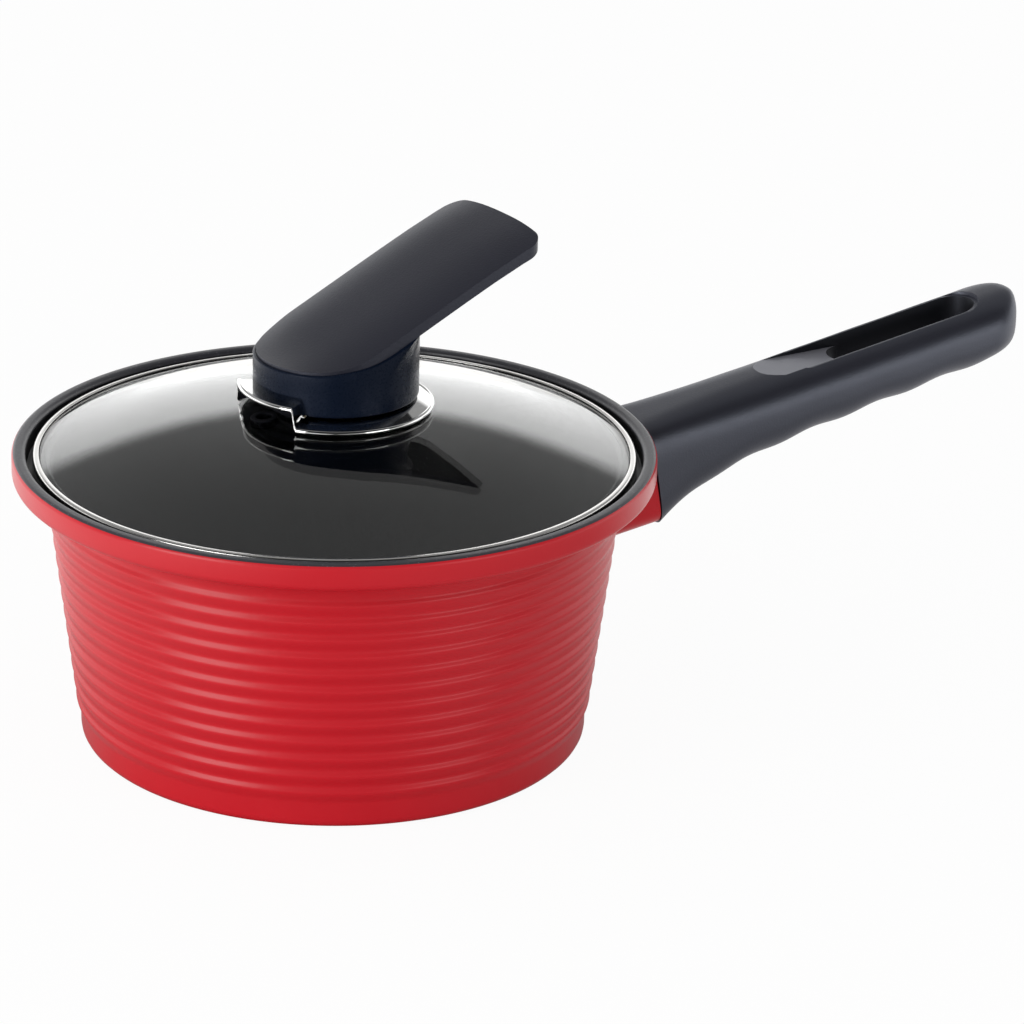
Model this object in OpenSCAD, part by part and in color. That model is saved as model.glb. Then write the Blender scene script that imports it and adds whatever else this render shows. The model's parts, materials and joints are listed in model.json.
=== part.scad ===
// Ribbed cast saucepan with a domed glass lid, a lever-shaped lid knob and one long moulded handle.
// The origin is the centre of the base, on the table. +X runs out along the handle and +Z is up.

/* [Pan] */
// Outer radius of the rim
rim_r = 95; // [93:0.5:97]
// Height from the table to the rim
pan_h = 89; // [88:0.5:92]
// Radius at which the wall line meets the table
base_r = 75.8; // [74:0.1:77]
// Radius of the wall line just under the rim
neck_r = 85.6; // [85:0.1:86.5]
// Thickness from the wall line to the inside
wall_t = 3.4; // [3:0.1:4]
// Thickness of the floor
floor_t = 4; // [3:0.5:6]
// Height of the smooth band round the rim
band_h = 8.2; // [8:0.1:9]
// Width of the flat top of the rim
rim_w = 4.2; // [4:0.1:4.5]
// Depth of the lid seat below the rim
seat_drop = 5.6; // [5.4:0.1:5.8]

/* [Ribs] */
// Number of ribs round the wall
rib_count = 12; // [6:1:12]
// Height of one rib
rib_pitch = 5.5; // [4:0.1:5.6]
// Depth of the groove between two ribs
rib_depth = 0.9; // [0.3:0.1:1.2]

/* [Handle] */
// Length from the lug to the tip
handle_len = 133; // [128:1:142]
// Rise of the top line, in degrees
handle_rise = 11.1; // [9:0.1:12]
// Depth of the handle at the lug
root_depth = 36.6; // [33:0.2:38]
// Depth of the handle half-way along
grip_depth = 22.2; // [20:0.2:24]
// Width of the handle at the lug
root_w = 29.6; // [29:0.2:33]
// Width of the handle in the hand
grip_w = 27.6; // [26:0.2:30]
// Depth of the finger waves underneath
wave_depth = 0.5; // [0:0.1:1]
// Width of the hanging slot
slot_w = 15; // [12:0.5:17]

/* [Lid] */
// Turn of the lid from the handle line, in degrees
lid_turn = 8; // [-180:1:180]
// Rise of the glass above its edge
dome_rise = 15.8; // [14:0.1:18]
// Thickness of the glass
glass_t = 4; // [3.5:0.1:4.5]
// Outer radius of the steel band
band_r = 88.9; // [88:0.1:90]

/* [Knob] */
// Radius of the knob's drum
knob_r = 24.4; // [24:0.1:26]
// Outer radius of the collar
collar_r = 29; // [29:0.1:31]
// Height of the steam mouth above the collar
mouth_h = 6; // [5:0.1:6.5]
// Half of the steam mouth's angle, in degrees
mouth_half = 33; // [28:0.5:36]
// Distance from the knob's axis to the lever's tip
lever_reach = 57.6; // [52:0.5:62]
// Width of the lever plate
lever_w = 46.8; // [44:0.2:47.2]
// Thickness of the lever plate
lever_t = 3.2; // [3:0.1:4]
// Rise of the lever, in degrees
lever_rise = 25; // [20:0.5:27]

/* [Hidden] */
$fn = 96;
fine = 360;

// Clearances: between loose pieces, round a sliding fit, and past a face that a cut has to leave
gap = 0.3;
slack = 0.1;
past = 1;

// Pan: levels and round edges
band_z = pan_h - band_h;
seat_z = pan_h - seat_drop;
mouth_r = rim_r - rim_w;
corner_r = 3;
inner_corner_r = 4;
neck_fillet = 3;
edge_r = 1.5;
rib_foot = 8;
rib_crest = 0.7;
rib_steps = 5;

// Lug and tongue that carry the handle, measured up and down from the axis of the long screw
lug_out = rim_r + 5;
lug_in = 24;
lug_w = root_w - 1.6;
root_top = pan_h - 4;
lug_up = 12;
lug_down = 20;
lug_round = 6.5;
lip_z = band_z - 2.3;
tongue_len = 10;
tongue_w = 15;
tongue_up = 5.5;
tongue_down = 10.5;

// Handle: sections are rounded ovals across X, from the rim to the tip
handle_x = lug_out + gap;
lip_r = rim_r + 0.4;
flare = 7.6;
wave_pitch = 22.8;
grip_taper = 4.5;
root_power = 4.5;
grip_power = 2.6;
tip_len = 12;
tip_drop = 0.3;
tip_top_power = 6;
tip_low_power = 3;
tip_steps = 8;
tip_turn = 84;
body_steps = 26;
ring_sides = 32;
slot_in = lug_out + 0.51 * handle_len;
slot_out = lug_out + 0.89 * handle_len;
ramp_in = lug_out + 0.315 * handle_len;
ramp_depth = 5;

// Long screw in the handle, placed along its own axis from the lug's face
screw_z = root_top - 13;
screw_tilt = 10;
screw_r = 3;
tap_r = 2.5;
thread_in = -13;
pocket_r = 5.9;
washer_t = 1.2;
spring_t = 1.6;
split_turn = 348;
head_r = 5;
head_h = 6;
socket_r = 2.9;
socket_deep = 3;
head_cover = 0.9;
pocket_in = (slot_in - lug_out) / cos(screw_tilt) - washer_t - spring_t - head_h - head_cover;

// Lid: levels and the sphere of the glass
lid_z = seat_z + gap;
sheet_t = 0.5;
band_top = lid_z + 4.5;
lip_top_r = band_r - 1.9;
lip_low_r = band_r - 4.9;
edge_z = band_top - sheet_t - slack;
edge_low = lid_z + sheet_t + slack;
dome_edge_r = lip_top_r - 0.2;
dome_r = (dome_edge_r * dome_edge_r + dome_rise * dome_rise) / (2 * dome_rise);
dome_top = edge_z + dome_rise;
dome_z = dome_top - dome_r;
hole_r = 6;
vent_r = 3;
vent_at = 24.5;
vent_turn = asin(vent_at / dome_r);

// Knob stack: levels from the glass upwards
collar_t = 0.8;
pad_top = dome_top + 0.8;
collar_z = pad_top + 0.05;
collar_flat_r = 24.5;
collar_edge_z = collar_z - 0.9;
bead_r = 0.8;
mouth_in_r = 21.2;
roof_z = collar_edge_z + mouth_h;
knob_z = collar_z + collar_t + 1;
boss_z = collar_z + collar_t + 0.05;
drum_wall = 2.6;
deck_t = 3;
boss_r = 7.5;
notch_half = mouth_half + 3.5;
notch_r = 19.5;
notch_z = roof_z + 1.4;
insert_r = 5;
insert_len = 12;

// Lever: a straight rise that eases off in a hollow curve at the front of the knob
lever_z = dome_top + 21.6;
bend_at = -6;
bend_r = 52;
bend_z = lever_z + bend_at * tan(lever_rise);
bend_x = bend_at - bend_r * sin(lever_rise);
bend_top = bend_z + bend_r * cos(lever_rise);
lever_corner = 5;
rim_under = 0.8;
peg_at = 13.5;
peg_r = 3;
peg_boss_r = 5.2;
peg_boss_z = boss_z + 4.5;
peg_z = peg_boss_z + 1.2;
pilot_r = 1.2;
lever_screw_r = 1.5;
lever_screw_len = 8;
lever_head_r = 2.8;
lever_head_h = 2;

// Underside stack of the lid
seal_t = 1.2;
seal_r = 11;
seal_z = dome_top - glass_t - seal_t;
sleeve_r = hole_r - 0.2;
low_washer_r = 9;
low_spring_r = 6;
low_head_r = 6;
low_head_h = 4.2;
knob_screw_top = boss_z + insert_len;

// Radius of the wall line at height z
function wall_r(z) = base_r + (neck_r - base_r) * z / band_z;

// Height of the glass dome at radius r
function glass_top(r) = dome_z + sqrt(dome_r * dome_r - r * r);

// Points of an arc round (x, y) from angle a to angle b
function arc(x, y, r, a, b, n) = [for (i = [0:n]) let (t = a + (b - a) * i / n)
    [x + r * cos(t), y + r * sin(t)]];

// Height share of a rib: a slow swell up to the crest and a quick fall above it
function rib_swell(t) = t < rib_crest ? (1 - cos(180 * t / rib_crest)) / 2
                                      : (1 + cos(180 * (t - rib_crest) / (1 - rib_crest))) / 2;
function rib_point(i) = let (z = rib_foot + rib_pitch * i / rib_steps, t = (i % rib_steps) / rib_steps)
    [wall_r(z) - rib_depth * (1 - rib_swell(t)), z];

// Handle lines: share u of the length runs from 0 at the lug to 1 at the tip
function top_z(u) = root_top + handle_len * u * tan(handle_rise);
function fade(u) = pow(1 - max(u, 0), flare);
function wave(u) = wave_depth * (1 - fade(u)) * cos(360 * u * handle_len / wave_pitch);
function grip(u) = grip_depth + grip_taper * (0.5 - u);
function depth(u) = grip(u) + (root_depth - grip(0)) * fade(u) + wave(u);
function half_w(u) = (grip_w + (root_w - grip_w) * pow(fade(u), 2)) / 2;
function oval_power(u) = grip_power + (root_power - grip_power) * fade(u);

// Stations along the handle: the share of the length and the turn into the rounded tip. The first one lies
// inside the rim, where the end is trimmed to the rim's curve
root_start = (rim_r - edge_r - handle_x) / (handle_len - gap);
body_end = 1 - tip_len / handle_len;
stations = concat([[root_start, 0]], [for (i = [0:body_steps]) [body_end * i / body_steps, 0]],
                  [for (i = [1:tip_steps]) let (a = tip_turn * i / tip_steps)
                      [body_end + (1 - body_end) * sin(a), a]]);

// One oval ring of the handle, which draws in at the tip: late on top, early underneath
function soft(c, n) = sign(c) * pow(abs(c), 2 / n);
function tip_share(a, t) = 1 - tip_drop * pow(sin(a), t < 180 ? tip_top_power : tip_low_power);
function ring(s) = let (u = s[0], n = oval_power(u), high = depth(u) / 2, w = half_w(u) * cos(s[1]))
    [for (k = [0:ring_sides - 1]) let (t = 360 * k / ring_sides)
        [handle_x + (handle_len - gap) * u, w * soft(cos(t), n),
         top_z(u) - high + high * tip_share(s[1], t) * soft(sin(t), n)]];

// Solid lofted through a list of rings
module loft(rings) {
    n = len(rings[0]);
    m = len(rings);
    points = [for (r = rings) for (p = r) p];
    sides = [for (i = [0:m - 2]) for (k = [0:n - 1]) let (a = i * n + k, b = i * n + (k + 1) % n)
        for (f = [[a, a + n, b], [b, a + n, b + n]]) f];
    caps = [[for (k = [0:n - 1]) k], [for (k = [n - 1:-1:0]) (m - 1) * n + k]];
    polyhedron(points, concat(sides, caps));
}

// Places along the handle's long screw
module along_screw(at) {
    translate([lug_out, 0, screw_z]) rotate([0, 90 - screw_tilt, 0]) translate([0, 0, at]) children();
}

// Places that turn with the lid
module on_lid() {
    rotate([0, 0, lid_turn]) children();
}

// Places square to the glass at the steam hole
module at_vent() {
    translate([0, 0, dome_z]) rotate([0, -vent_turn, 0]) translate([0, 0, dome_r]) children();
}

// Flat ring with a hole
module washer(r, bore, t) {
    difference() {
        cylinder(r = r, h = t);
        translate([0, 0, -past]) cylinder(r = bore, h = t + 2 * past);
    }
}

// Split spring ring
module spring_ring(r, bore, t) {
    rotate_extrude(angle = split_turn) translate([bore, 0]) square([r - bore, t]);
}

// Sector of a ring that looks away from the lever, from radius a to radius b
module mouth_sector(half, a, b, z, h) {
    rotate([0, 0, 180 - half]) rotate_extrude(angle = 2 * half) translate([a, z]) square([b - a, h]);
}

// Outside of the pan: table, ribbed wall, hollow under the rim, band and rim
module pan_outside() {
    lean = atan((neck_r - base_r) / band_z);
    foot_x = wall_r(corner_r) - corner_r / cos(lean);
    neck_z = band_z - neck_fillet;
    neck_x = wall_r(neck_z) + neck_fillet;
    rib_points = [for (i = [0:rib_count * rib_steps]) rib_point(i)];
    polygon(concat([[0, 0]],
        arc(foot_x, corner_r, corner_r, -90, -lean, 6),
        rib_points,
        arc(neck_x, neck_z, neck_fillet, 180, 90, 5),
        arc(rim_r - edge_r, band_z + edge_r, edge_r, -90, 0, 5),
        arc(rim_r - edge_r, pan_h - edge_r, edge_r, 0, 90, 5),
        [[0, pan_h]]));
}

// Room inside the pan: lid seat, wall and floor, open at the top
module pan_inside() {
    top_r = wall_r(seat_z) - wall_t;
    low_r = wall_r(floor_t + inner_corner_r) - wall_t - inner_corner_r;
    polygon(concat([[0, floor_t]],
        arc(low_r, floor_t + inner_corner_r, inner_corner_r, -90, 0, 6),
        [[top_r - edge_r / 2, seat_z - edge_r], [top_r + edge_r / 2, seat_z], [mouth_r - edge_r / 3, seat_z],
         [mouth_r, seat_z + edge_r / 3]],
        arc(mouth_r + edge_r, pan_h - edge_r, -edge_r, 0, -90, 5),
        [[mouth_r + edge_r, pan_h + past], [0, pan_h + past]]));
}

// End face of the lug, a rounded oblong square to the long screw
module lug_face() {
    r = lug_round;
    tall = lug_up + lug_down;
    for (x = [r - lug_up, lug_down - r], y = [r - lug_w / 2, lug_w / 2 - r]) translate([x, y]) circle(r = r);
    translate([r - lug_up, -lug_w / 2]) square([tall - 2 * r, lug_w]);
    translate([-lug_up, r - lug_w / 2]) square([tall, lug_w - 2 * r]);
}

// Extrudes an outline of the XZ plane across Y
module across_y(w) {
    rotate([90, 0, 0]) linear_extrude(height = w, center = true) children();
}

// Lug on the wall: it runs up under the band, and outside the rim it stops below the handle's lip
module lug() {
    under_x = sqrt(rim_r * rim_r - lug_w * lug_w / 4) - edge_r;
    intersection() {
        along_screw(-lug_in) linear_extrude(height = lug_in) lug_face();
        across_y(2 * lug_w) polygon([[0, 0], [2 * rim_r, 0], [2 * rim_r, lip_z], [under_x, lip_z],
                                     [under_x, band_z + past], [0, band_z + past]]);
    }
}

// Room in the handle for the lug, below the lip and up to the lug's leaning face
module lug_room() {
    lean = tan(screw_tilt);
    top = lip_z + gap;
    across_y(2 * lug_w) polygon([[0, 0], [handle_x + screw_z * lean, 0],
                                 [handle_x + (screw_z - top) * lean, top], [0, top]]);
}

// Tongue on the lug, and its socket in the handle with room round it
module tongue(room) {
    along_screw(-past) translate([-tongue_up - room, -tongue_w / 2 - room, 0])
        cube([tongue_up + tongue_down + 2 * room, tongue_w + 2 * room, tongue_len + past + room]);
}

module pan_body() {
    color("firebrick") difference() {
        union() {
            rotate_extrude($fn = fine) pan_outside();
            lug();
            tongue(0);
        }
        rotate_extrude($fn = fine) pan_inside();
        along_screw(thread_in) cylinder(r = tap_r, h = tongue_len + past - thread_in);
    }
}

// Hanging slot, cut straight down, with round ends
module slot_plan() {
    r = slot_w / 2;
    for (x = [slot_in + r, slot_out - r]) translate([x, 0]) circle(r = r);
    translate([slot_in + r, -r]) square([slot_out - slot_in - slot_w, slot_w]);
}

// Thumb ramp that runs down into the slot
module ramp_side() {
    u_in = (ramp_in - handle_x) / handle_len;
    u_out = (slot_in + slot_w / 2 - handle_x) / handle_len;
    x_out = slot_in + slot_w / 2;
    polygon([[ramp_in, top_z(u_in)], [x_out, top_z(u_out) - ramp_depth], [x_out, top_z(u_out) + ramp_depth],
             [ramp_in, top_z(u_in) + ramp_depth]]);
}

module handle_grip() {
    color("#26262b") difference() {
        loft([for (s = stations) ring(s)]);
        cylinder(r = lip_r, h = 2 * pan_h, $fn = fine);
        lug_room();
        linear_extrude(height = 2 * pan_h) slot_plan();
        across_y(slot_w) ramp_side();
        tongue(slack * 2);
        along_screw(0) cylinder(r = screw_r + gap, h = pocket_in + past);
        along_screw(pocket_in) cylinder(r = pocket_r, h = slot_in + slot_w - lug_out - pocket_in);
    }
}

module handle_screw() {
    head_at = pocket_in + washer_t + spring_t;
    color("silver") along_screw(0) difference() {
        union() {
            translate([0, 0, thread_in + past]) cylinder(r = screw_r, h = head_at - thread_in);
            translate([0, 0, head_at]) cylinder(r = head_r, h = head_h);
        }
        translate([0, 0, head_at + head_h - socket_deep])
            cylinder(r = socket_r, h = socket_deep + past, $fn = 6);
    }
}

module handle_washer() {
    color("lightgray") along_screw(pocket_in) washer(pocket_r - gap, screw_r + slack, washer_t);
}

module handle_spring_washer() {
    color("gray") along_screw(pocket_in + washer_t) spring_ring(head_r, screw_r + slack, spring_t);
}

// Section of the glass: a domed wall with a flat edge for the band
module glass_section() {
    intersection() {
        translate([0, dome_z]) difference() {
            circle(r = dome_r, $fn = fine);
            circle(r = dome_r - glass_t, $fn = fine);
        }
        translate([hole_r, edge_low]) square([dome_edge_r - hole_r, 2 * dome_rise]);
    }
    translate([lip_low_r - past, edge_low])
        square([band_r - sheet_t - slack - lip_low_r + past, edge_z - edge_low]);
}

module lid_glass() {
    color("gainsboro", 0.5) on_lid() difference() {
        rotate_extrude($fn = fine) glass_section();
        at_vent() translate([0, 0, -2 * glass_t]) cylinder(r = vent_r, h = 4 * glass_t);
    }
}

module lid_band() {
    color("silver") on_lid() rotate_extrude($fn = fine) {
        translate([band_r - sheet_t, lid_z]) square([sheet_t, band_top - lid_z]);
        translate([lip_low_r, lid_z]) square([band_r - lip_low_r, sheet_t]);
        translate([lip_top_r, band_top - sheet_t]) square([band_r - lip_top_r, sheet_t]);
    }
}

module steam_eyelet() {
    flange_r = vent_r + 1;
    flange_t = 0.4;
    drop = glass_t + 0.2;
    color("#404040") on_lid() at_vent() difference() {
        union() {
            translate([0, 0, slack]) cylinder(r = flange_r, h = flange_t);
            translate([0, 0, -drop]) cylinder(r = vent_r - slack, h = drop + slack + flange_t);
            translate([0, 0, -drop - flange_t]) cylinder(r = flange_r, h = flange_t);
        }
        translate([0, 0, -2 * glass_t]) cylinder(r = vent_r - 0.6, h = 4 * glass_t);
    }
}

module collar_gasket() {
    pad_r = 18;
    color("#404040") on_lid() rotate_extrude()
        polygon([[hole_r, glass_top(hole_r) + slack], [pad_r, glass_top(pad_r) + slack], [pad_r, pad_top],
                 [hole_r, pad_top]]);
}

// Section of the collar: a flat seat, a slope and a rolled edge
module collar_section() {
    edge_x = collar_r - bead_r;
    polygon([[hole_r, collar_z], [collar_flat_r - past, collar_z], [edge_x, collar_edge_z - collar_t],
             [edge_x, collar_edge_z], [collar_flat_r, collar_z + collar_t], [hole_r, collar_z + collar_t]]);
    translate([edge_x, collar_edge_z - bead_r / 2]) circle(r = bead_r);
}

module knob_collar() {
    wall_low = collar_edge_z - collar_t;
    color("silver") on_lid() {
        difference() {
            rotate_extrude() collar_section();
            mouth_sector(mouth_half, mouth_in_r, collar_r + past, wall_low - past, mouth_h);
        }
        mouth_sector(mouth_half, mouth_in_r, collar_r, roof_z - collar_t, collar_t);
        mouth_sector(mouth_half, mouth_in_r, mouth_in_r + collar_t, collar_z, roof_z - collar_z);
        for (side = [-1, 1])
            rotate([0, 0, 180 + side * mouth_half])
                translate([mouth_in_r, -collar_t / 2, wall_low])
                    cube([collar_r - mouth_in_r, collar_t, roof_z - wall_low]);
    }
}

// Side of the knob below a line that lies a given depth under the lever's top
module below_top(under) {
    x = bend_at + under * sin(lever_rise);
    z = bend_z - under * cos(lever_rise);
    reach = lever_reach + knob_r;
    difference() {
        polygon([[-reach, 0], [reach, 0], [reach, z + (reach - x) * tan(lever_rise)], [x, z], [-reach, z]]);
        translate([bend_x, bend_top]) circle(r = bend_r + under, $fn = fine);
    }
}

// The two pegs that hold the lever plate in the drum
module at_pegs() {
    for (x = [-peg_at, peg_at]) translate([x, 0, 0]) children();
}

module knob_base() {
    high = 2 * pan_h;
    color("#1d1f26") on_lid() difference() {
        intersection() {
            translate([0, 0, boss_z]) cylinder(r = knob_r, h = high);
            across_y(4 * knob_r) below_top(rim_under);
        }
        difference() {
            linear_extrude(height = high) lever_plan(gap / 2);
            across_y(4 * knob_r) below_top(lever_t + slack / 2);
        }
        difference() {
            intersection() {
                cylinder(r = knob_r - drum_wall, h = high);
                across_y(4 * knob_r) below_top(lever_t + deck_t);
            }
            cylinder(r = boss_r, h = high);
            at_pegs() translate([0, 0, peg_boss_z]) cylinder(r = peg_boss_r, h = high);
        }
        washer(2 * knob_r, boss_r, knob_z);
        mouth_sector(notch_half, notch_r, 2 * knob_r, 0, notch_z);
        cylinder(r = insert_r, h = boss_z + insert_len + past);
        at_pegs() translate([0, 0, peg_z - slack]) cylinder(r = peg_r + slack, h = high);
        at_pegs() cylinder(r = lever_screw_r + slack, h = high);
    }
}

// Outline of the lever plate from above: round over the drum, with two round corners at the tip
module lever_plan(room) {
    half = lever_w / 2 + room;
    circle(r = half);
    translate([0, -half]) square([lever_reach - lever_corner, 2 * half]);
    translate([0, lever_corner - half]) square([lever_reach, 2 * half - 2 * lever_corner]);
    for (side = [-1, 1])
        translate([lever_reach - lever_corner, side * (half - lever_corner)]) circle(r = lever_corner);
}

module lever_plate() {
    high = 2 * pan_h;
    color("#2c2d33") on_lid() difference() {
        union() {
            intersection() {
                linear_extrude(height = high) lever_plan(0);
                across_y(4 * knob_r) difference() {
                    below_top(0);
                    below_top(lever_t);
                }
            }
            intersection() {
                at_pegs() translate([0, 0, peg_z]) cylinder(r = peg_r, h = high);
                across_y(4 * knob_r) below_top(lever_t / 2);
            }
        }
        at_pegs() translate([0, 0, peg_z - past]) cylinder(r = pilot_r, h = lever_screw_len);
    }
}

module lever_screws() {
    color("silver") on_lid() at_pegs() {
        translate([0, 0, peg_boss_z - slack / 2]) cylinder(r = lever_screw_r, h = lever_screw_len - past);
        translate([0, 0, peg_boss_z - lever_head_h - slack / 2])
            cylinder(r = lever_head_r, h = lever_head_h);
    }
}

module knob_insert() {
    color("goldenrod") on_lid() translate([0, 0, boss_z]) washer(insert_r, tap_r, insert_len);
}

module lower_gasket() {
    color("#404040") on_lid() rotate_extrude() {
        intersection() {
            translate([screw_r + gap, seal_z]) square([seal_r - screw_r - gap, 2 * seal_t]);
            translate([0, dome_z]) circle(r = dome_r - glass_t - slack / 4, $fn = fine);
        }
        translate([screw_r + gap, seal_z]) square([sleeve_r - screw_r - gap, dome_top - slack - seal_z]);
    }
}

module lower_washer() {
    color("lightgray") on_lid() translate([0, 0, seal_z - washer_t])
        washer(low_washer_r, screw_r + slack, washer_t);
}

module lower_spring_washer() {
    color("gray") on_lid() translate([0, 0, seal_z - washer_t - spring_t])
        spring_ring(low_spring_r, screw_r + slack, spring_t);
}

module knob_screw() {
    head_z = seal_z - washer_t - spring_t;
    color("silver") on_lid() difference() {
        union() {
            translate([0, 0, head_z - past]) cylinder(r = screw_r, h = knob_screw_top - head_z);
            translate([0, 0, head_z - low_head_h]) cylinder(r = low_head_r, h = low_head_h);
        }
        for (turn = [0, 90])
            translate([0, 0, head_z - low_head_h]) rotate([0, 0, turn])
                cube([low_head_r, past, low_head_h], center = true);
    }
}

pan_body();
handle_grip();
handle_screw();
handle_washer();
handle_spring_washer();
lid_glass();
lid_band();
steam_eyelet();
collar_gasket();
knob_collar();
knob_base();
lever_plate();
lever_screws();
knob_insert();
lower_gasket();
lower_washer();
lower_spring_washer();
knob_screw();
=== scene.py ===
# %% [markdown]
# A ribbed cast saucepan with a glass lid. The solids of the pan, the handle and the lid come in as a
# fixed frame, and this lesson dresses them: each piece that shows is turned, lofted or extruded again with
# soft edges, and each finish is built from shader nodes. Lengths of the pan are written in millimetres and
# are scaled to metres at the end of each piece, because a cook's pan is drawn in millimetres.

# %% Load the frame
import json
from math import asin, atan2, cos, degrees, pi, radians, sin, sqrt, tan

import bmesh
import bpy
from mathutils import Euler, Matrix, Vector

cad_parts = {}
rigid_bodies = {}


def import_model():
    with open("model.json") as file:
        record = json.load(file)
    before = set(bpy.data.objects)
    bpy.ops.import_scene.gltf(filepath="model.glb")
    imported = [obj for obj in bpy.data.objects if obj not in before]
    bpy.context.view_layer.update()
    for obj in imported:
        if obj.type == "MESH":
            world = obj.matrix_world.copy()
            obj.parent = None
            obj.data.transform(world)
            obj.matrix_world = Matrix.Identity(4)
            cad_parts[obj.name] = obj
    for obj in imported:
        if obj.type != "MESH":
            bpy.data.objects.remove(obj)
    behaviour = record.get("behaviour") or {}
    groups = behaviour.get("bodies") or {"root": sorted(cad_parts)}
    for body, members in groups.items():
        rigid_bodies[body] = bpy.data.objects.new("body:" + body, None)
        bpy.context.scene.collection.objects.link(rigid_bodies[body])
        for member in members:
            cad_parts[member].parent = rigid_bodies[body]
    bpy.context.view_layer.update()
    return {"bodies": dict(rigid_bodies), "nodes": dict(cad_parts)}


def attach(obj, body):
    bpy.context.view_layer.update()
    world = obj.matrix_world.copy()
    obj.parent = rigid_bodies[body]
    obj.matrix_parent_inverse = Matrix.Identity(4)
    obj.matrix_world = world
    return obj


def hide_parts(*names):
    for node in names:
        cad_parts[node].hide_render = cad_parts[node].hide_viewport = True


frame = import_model()
MM = 0.001
print("bodies:", ", ".join(frame["bodies"]))
print("pieces in the frame:", len(frame["nodes"]))

# %% [markdown]
# The camera comes first, so that each piece can be judged from the photograph's place as soon as it exists.
# The pan was seen from a little over a metre away, about 20 degrees above the rim, through a long lens,
# which keeps the two sides of the pan almost parallel.

# %% Camera
lens = bpy.data.cameras.new("photo_lens")
lens.sensor_width = 36.0
lens.lens = 147.1
lens.clip_end = 50.0
camera = bpy.data.objects.new("photo_camera", lens)
camera.location = (-0.4708, -1.0575, 0.5194)
camera.rotation_euler = Euler((radians(68.722), radians(-1.288), radians(-26.097)))
bpy.context.scene.collection.objects.link(camera)
bpy.context.scene.camera = camera
print("camera stands", round(camera.location.length, 3), "m from the pan's foot")

# %% [markdown]
# Shader nodes are easier to read as sums than as boxes and lines. Wire wraps one socket and lets Python's
# own signs add Math nodes. Board holds one node tree, and its node method makes any node from a type, its
# settings and its sockets. Finish is the board of one material: it starts from the Principled shader, and
# its last step joins the wires to that shader.


# %% Shader helpers
class Wire:
    """One shader socket that can stand in a Python sum."""

    def __init__(self, board, socket):
        self.board = board
        self.socket = socket

    def sum(self, operation, first, second):
        return self.board.node("ShaderNodeMath", {"operation": operation}, {0: first, 1: second})

    def larger(self, other):
        return self.sum("MAXIMUM", self, other)

    def __add__(self, other):
        return self.sum("ADD", self, other)

    def __sub__(self, other):
        return self.sum("SUBTRACT", self, other)

    def __rsub__(self, other):
        return self.sum("SUBTRACT", other, self)

    def __mul__(self, other):
        return self.sum("MULTIPLY", self, other)

    __radd__ = __add__
    __rmul__ = __mul__


class Board:
    """One node tree, and the methods that put nodes on it."""

    def __init__(self, tree):
        self.tree = tree

    def node(self, kind, settings=None, sockets=None, out=0):
        """Makes any node: its settings first, then a value or a wire for each socket."""
        made = self.tree.nodes.new(kind)
        for key, value in (settings or {}).items():
            if key == "stops":
                self.set_stops(made.color_ramp, value)
            else:
                setattr(made, key, value)
        for key, value in (sockets or {}).items():
            if isinstance(value, Wire):
                self.tree.links.new(value.socket, made.inputs[key])
            else:
                made.inputs[key].default_value = value
        return Wire(self, made.outputs[out])

    def set_stops(self, ramp, stops):
        while len(ramp.elements) < len(stops):
            ramp.elements.new(0.5)
        for element, (place, colour) in zip(ramp.elements, stops):
            element.position = place
            element.color = colour

    def ramp(self, factor, *stops):
        """A ramp through grey levels, given as (place, level) pairs."""
        greys = [(place, (level, level, level, 1)) for place, level in stops]
        return self.node("ShaderNodeValToRGB", {"stops": greys}, {"Fac": factor})

    def reach(self, vector, axis):
        """How far a vector reaches along an axis."""
        return self.node("ShaderNodeVectorMath", {"operation": "DOT_PRODUCT"}, {0: vector, 1: axis}, "Value")

    def ray(self, kind):
        """1 for one kind of ray and 0 for the others."""
        return self.node("ShaderNodeLightPath", out=kind)


class Finish(Board):
    """One procedural material round a Principled shader."""

    def __init__(self, name, **constants):
        self.material = bpy.data.materials.new(name)
        self.material.use_nodes = True
        super().__init__(self.material.node_tree)
        self.shader = self.tree.nodes["Principled BSDF"]
        for socket, value in constants.items():
            self.shader.inputs[socket.replace("_", " ")].default_value = value
        self.place = self.node("ShaderNodeTexCoord", out="Object")

    def noise(self, scale, detail=3.0):
        sockets = {"Vector": self.place, "Scale": scale, "Detail": detail, "Roughness": 0.55}
        return self.node("ShaderNodeTexNoise", None, sockets, "Fac")

    def blend(self, factor, low, high):
        """A colour between two others."""
        sockets = {0: factor, 6: (*low, 1), 7: (*high, 1)}
        return self.node("ShaderNodeMix", {"data_type": "RGBA"}, sockets, 2)

    def bump(self, height, strength, depth):
        return self.node("ShaderNodeBump", None, {"Height": height, "Strength": strength, "Distance": depth})

    def join(self, **wires):
        for socket, wire in wires.items():
            self.tree.links.new(wire.socket, self.shader.inputs[socket.replace("_", " ")])
        return self.material


FINE_BUMP = 0.2 * MM
print("helpers ready:", Wire.__name__, Board.__name__, Finish.__name__)

# %% [markdown]
# The outside of the pan is a red enamel over the casting. It is smooth but not a mirror: a faint
# orange-peel ripple softens every reflection, and the colour drifts a little where the spray lay thicker.
# The inside and the top of the rim carry one dark cooking coat with fine pale flecks, as one recipe in two
# shades: below the rim's rounding it is painted much darker, as painted shade inside the pan under the lid.

# %% Finishes of the pan
red = Finish("red_enamel", Specular_IOR_Level=0.36)
drift = red.noise(14.0, 4.0)
peel = red.noise(700.0, 2.0)
red_enamel = red.join(
    Base_Color=red.blend(drift, (0.49, 0.007, 0.015), (0.56, 0.011, 0.020)),
    Roughness=0.26 + 0.10 * drift,
    Normal=red.bump(peel, 0.10, FINE_BUMP))


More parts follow.
